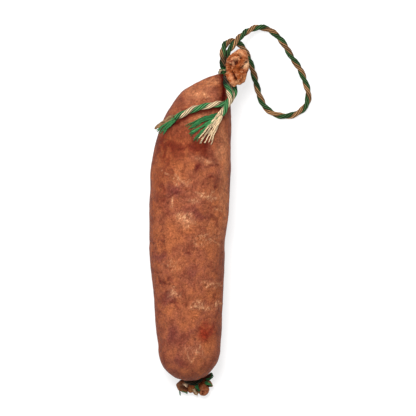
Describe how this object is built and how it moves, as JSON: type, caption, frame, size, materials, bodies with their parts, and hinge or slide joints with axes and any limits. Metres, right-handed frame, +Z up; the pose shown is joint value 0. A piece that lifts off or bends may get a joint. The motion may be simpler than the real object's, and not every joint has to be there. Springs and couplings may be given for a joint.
{
  "type": "garlic pork sausage",
  "caption": "Dry-cured garlic pork sausage lying down, casing gathered and tied at both ends, with a two-colour twine hanging loop and two loose tails.",
  "frame": {"origin": "middle of the sausage on the table it lies on", "axes": "+Y along the sausage towards the hanging loop, +X to its right seen from above, +Z up"},
  "size_m": [0.1058, 0.2419, 0.0502],
  "materials": {
    "casing": "dry cured natural casing, semi-matt with a faint oily sheen",
    "twine_green": "matt green yarn",
    "twine_natural": "matt undyed yarn",
    "twine": "two-ply twine, one green and one undyed ply"
  },
  "bodies": {
    "root": {"sausage": "casing", "neck_tie": "twine", "end_tie": "twine", "loop_cord": "twine", "tail_long": "twine", "tail_short": "twine", "end_yarn_green_curl": "twine_green", "end_yarn_green_left": "twine_green", "end_yarn_green_leaf": "twine_green", "end_yarn_green_right": "twine_green", "end_yarn_green_high": "twine_green", "end_yarn_natural_left": "twine_natural"}
  },
  "joints": []
}
